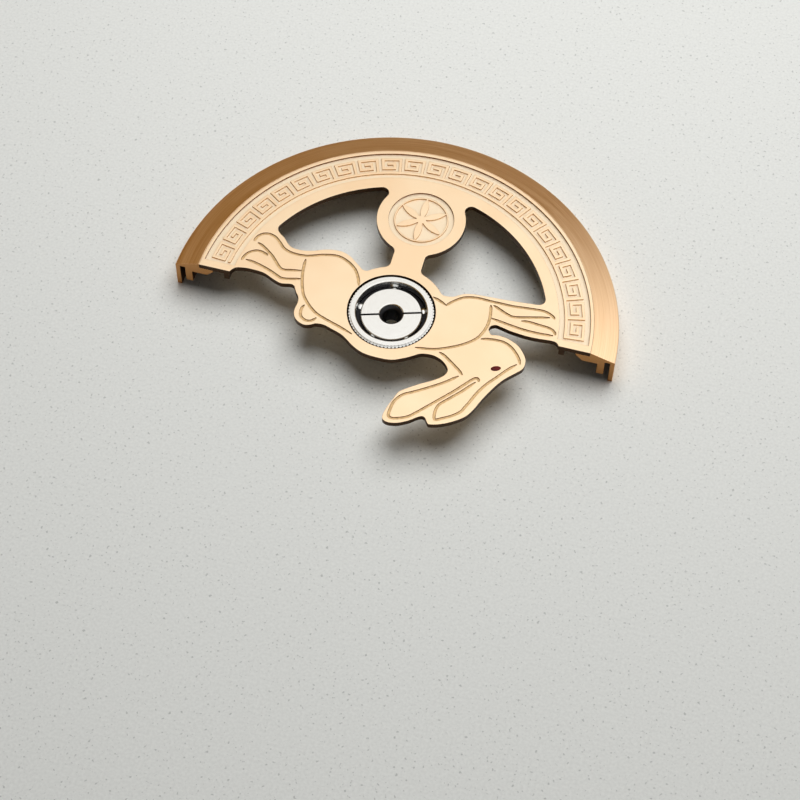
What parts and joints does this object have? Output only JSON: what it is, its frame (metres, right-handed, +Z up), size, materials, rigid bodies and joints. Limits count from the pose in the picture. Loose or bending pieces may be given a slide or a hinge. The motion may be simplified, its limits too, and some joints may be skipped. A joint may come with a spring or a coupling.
{
  "type": "automatic watch rotor",
  "caption": "Half-round winding weight for an automatic watch, with a pierced and engraved plate in the shape of a leaping hare, a heavy rim and a ball bearing hub.",
  "frame": {"origin": "centre of the bore at the seat of the bearing, on the spin axis", "axes": "+Z up along the spin axis through the plate, +Y from the axis to the middle of the weight, +X to the right along the straight ends"},
  "size_m": [0.0266, 0.0207, 0.0025],
  "materials": {
    "satin_gold": "gold plated, satin",
    "turned_gold": "gold plated, brushed in circles",
    "polished_steel": "polished",
    "ball_steel": "mirror polished",
    "dark_steel": "dark, satin",
    "gear_brass": "milled",
    "eye_enamel": "glossy enamel"
  },
  "bodies": {
    "hub": {"race_core": "polished_steel", "race_nut": "polished_steel"},
    "rotor": {"rotor_plate": "satin_gold", "rim_weight": "turned_gold", "bearing_outer_ring": "polished_steel", "drive_gear": "gear_brass", "eye_inlay": "eye_enamel"},
    "retainer": {"ball_retainer": "dark_steel"},
    "ball_a": {"ball_1": "ball_steel"},
    "ball_b": {"ball_2": "ball_steel"},
    "ball_c": {"ball_3": "ball_steel"},
    "ball_d": {"ball_4": "ball_steel"},
    "ball_e": {"ball_5": "ball_steel"}
  },
  "joints": [
    {"name": "rotor_spin", "type": "hinge", "parent": "hub", "child": "rotor", "pos_m": [0, 0, 0], "axis": [0, 0, 1], "continuous": true},
    {"name": "retainer_spin", "type": "hinge", "parent": "hub", "child": "retainer", "pos_m": [0, 0, 0], "axis": [0, 0, 1], "continuous": true},
    {"name": "ball_1_spin", "type": "hinge", "parent": "retainer", "child": "ball_a", "pos_m": [0.00172, 0.00092, 0.00085], "axis": [0, 0, 1], "continuous": true},
    {"name": "ball_2_spin", "type": "hinge", "parent": "retainer", "child": "ball_b", "pos_m": [-0.00034, 0.00192, 0.00085], "axis": [0, 0, 1], "continuous": true},
    {"name": "ball_3_spin", "type": "hinge", "parent": "retainer", "child": "ball_c", "pos_m": [-0.00193, 0.00027, 0.00085], "axis": [0, 0, 1], "continuous": true},
    {"name": "ball_4_spin", "type": "hinge", "parent": "retainer", "child": "ball_d", "pos_m": [-0.00085, -0.00175, 0.00085], "axis": [0, 0, 1], "continuous": true},
    {"name": "ball_5_spin", "type": "hinge", "parent": "retainer", "child": "ball_e", "pos_m": [0.0014, -0.00135, 0.00085], "axis": [0, 0, 1], "continuous": true}
  ],
  "couplings": [
    {"joint": "retainer_spin", "follows": "rotor_spin", "ratio": 0.55439},
    {"joint": "ball_1_spin", "follows": "rotor_spin", "ratio": 4.5418},
    {"joint": "ball_2_spin", "follows": "rotor_spin", "ratio": 4.5418},
    {"joint": "ball_3_spin", "follows": "rotor_spin", "ratio": 4.5418},
    {"joint": "ball_4_spin", "follows": "rotor_spin", "ratio": 4.5418},
    {"joint": "ball_5_spin", "follows": "rotor_spin", "ratio": 4.5418}
  ]
}
